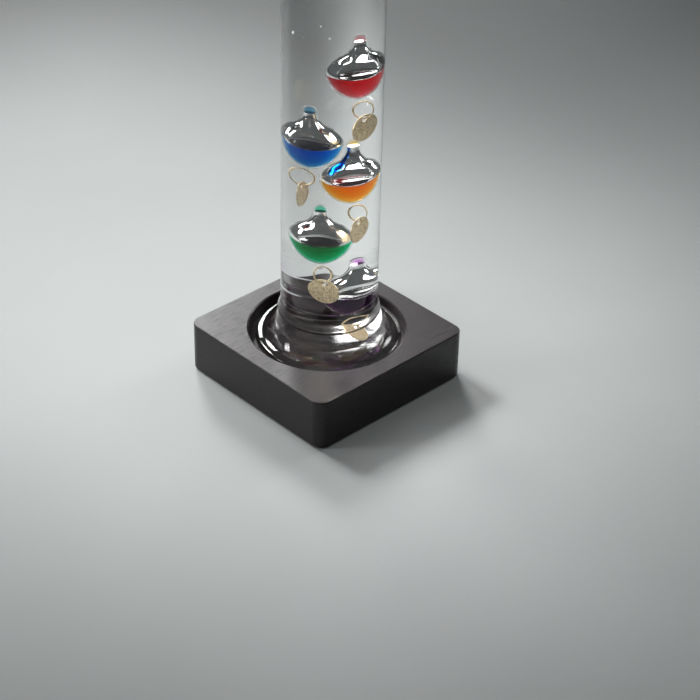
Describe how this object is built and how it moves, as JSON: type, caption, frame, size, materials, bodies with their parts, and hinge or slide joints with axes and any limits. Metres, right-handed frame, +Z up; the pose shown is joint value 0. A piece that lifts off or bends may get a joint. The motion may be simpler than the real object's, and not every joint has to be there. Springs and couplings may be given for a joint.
{
  "type": "galileo thermometer",
  "caption": "Sealed liquid-filled glass cylinder on a square dark wooden base, with coloured glass floats that rise and sink and carry brass temperature tags.",
  "frame": {"origin": "centre of the underside, on the plane that the felt pads rest on", "axes": "+Z up, parallel to the glass tube's axis, which stands 0.8 mm off the base's centre; +X and +Y square to the base's sides; the tags are read from the +X, -Y corner"},
  "size_m": [0.08, 0.08, 0.228],
  "materials": {
    "stained_wood": "dark espresso stain over open grain, satin",
    "black_felt": "thin black felt",
    "clear_glass": "clear, fire polished",
    "clear_liquid": "clear colourless liquid",
    "bulb_glass": "thin clear blown glass",
    "brass": "pale gold brass, lightly brushed",
    "violet_dye": "clear violet dyed liquid",
    "green_dye": "clear green dyed liquid",
    "orange_dye": "clear orange dyed liquid",
    "blue_dye": "clear blue dyed liquid",
    "red_dye": "clear red dyed liquid"
  },
  "bodies": {
    "base": {"wooden_base": "stained_wood", "felt_pads": "black_felt"},
    "vessel": {"glass_tube": "clear_glass", "glass_foot": "clear_glass", "clear_liquid": "clear_liquid"},
    "violet_float": {"violet_bulb": "bulb_glass", "violet_fill": "violet_dye"},
    "violet_ring": {"violet_ring": "brass"},
    "violet_tag": {"violet_tag": "brass"},
    "green_float": {"green_bulb": "bulb_glass", "green_fill": "green_dye"},
    "green_ring": {"green_ring": "brass"},
    "green_tag": {"green_tag": "brass"},
    "orange_float": {"orange_bulb": "bulb_glass", "orange_fill": "orange_dye"},
    "orange_ring": {"orange_ring": "brass"},
    "orange_tag": {"orange_tag": "brass"},
    "blue_float": {"blue_bulb": "bulb_glass", "blue_fill": "blue_dye"},
    "blue_ring": {"blue_ring": "brass"},
    "blue_tag": {"blue_tag": "brass"},
    "red_float": {"red_bulb": "bulb_glass", "red_fill": "red_dye"},
    "red_ring": {"red_ring": "brass"},
    "red_tag": {"red_tag": "brass"}
  },
  "joints": [
    {"name": "vessel_lift", "type": "slide", "parent": "base", "child": "vessel", "axis": [0, 0, 1], "range_m": [0, 0.02]},
    {"name": "violet_rise", "type": "slide", "parent": "vessel", "child": "violet_float", "axis": [0, 0, 1], "range_m": [0, 0.004], "deforming": ["clear_liquid"]},
    {"name": "violet_ring_swing", "type": "hinge", "parent": "violet_float", "child": "violet_ring", "pos_m": [0.00226, 0.00792, 0.0286], "axis": [0.5, 0.866, 0], "range_deg": [-4, 0]},
    {"name": "violet_tag_swing", "type": "hinge", "parent": "violet_ring", "child": "violet_tag", "pos_m": [0.00627, 0.00561, 0.02308], "axis": [0.5, 0.866, 0], "range_deg": [-6, 0]},
    {"name": "green_rise", "type": "slide", "parent": "violet_float", "child": "green_float", "axis": [0, 0, 1], "range_m": [0, 0.005], "deforming": ["clear_liquid"]},
    {"name": "green_ring_swing", "type": "hinge", "parent": "green_float", "child": "green_ring", "pos_m": [0.00028, -0.00283, 0.0556], "axis": [-0.0523, 0.9986, 0], "range_deg": [-6, 8]},
    {"name": "green_tag_swing", "type": "hinge", "parent": "green_ring", "child": "green_tag", "pos_m": [0.00214, -0.00273, 0.04865], "axis": [-0.0523, 0.9986, 0], "range_deg": [-10, 10]},
    {"name": "orange_rise", "type": "slide", "parent": "green_float", "child": "orange_float", "axis": [0, 0, 1], "range_m": [0, 0.005], "deforming": ["clear_liquid"]},
    {"name": "orange_ring_swing", "type": "hinge", "parent": "orange_float", "child": "orange_ring", "pos_m": [0.00643, 0.00318, 0.082], "axis": [-0.342, 0.9397, 0], "range_deg": [-12, 2]},
    {"name": "orange_tag_swing", "type": "hinge", "parent": "orange_ring", "child": "orange_tag", "pos_m": [0.0087, 0.00401, 0.07672], "axis": [0.9397, 0.342, 0], "range_deg": [-2, 15]},
    {"name": "blue_rise", "type": "slide", "parent": "orange_float", "child": "blue_float", "axis": [0, 0, 1], "range_m": [0, 0.008], "deforming": ["clear_liquid"]},
    {"name": "blue_ring_swing", "type": "hinge", "parent": "blue_float", "child": "blue_ring", "pos_m": [-0.00226, -0.00481, 0.097], "axis": [0.5, -0.866, 0], "range_deg": [-15, 5]},
    {"name": "blue_tag_swing", "type": "hinge", "parent": "blue_ring", "child": "blue_tag", "pos_m": [-0.0041, -0.00587, 0.09149], "axis": [-0.866, -0.5, 0], "range_deg": [-15, 15]},
    {"name": "red_rise", "type": "slide", "parent": "blue_float", "child": "red_float", "axis": [0, 0, 1], "range_m": [0, 0.026], "deforming": ["clear_liquid"]},
    {"name": "red_ring_swing", "type": "hinge", "parent": "red_float", "child": "red_ring", "pos_m": [0.00714, 0.00431, 0.1269], "axis": [-0.5, 0.866, 0], "range_deg": [-15, 0]},
    {"name": "red_tag_swing", "type": "hinge", "parent": "red_ring", "child": "red_tag", "pos_m": [0.0087, 0.00521, 0.12118], "axis": [0.866, 0.5, 0], "range_deg": [-15, 6]}
  ]
}
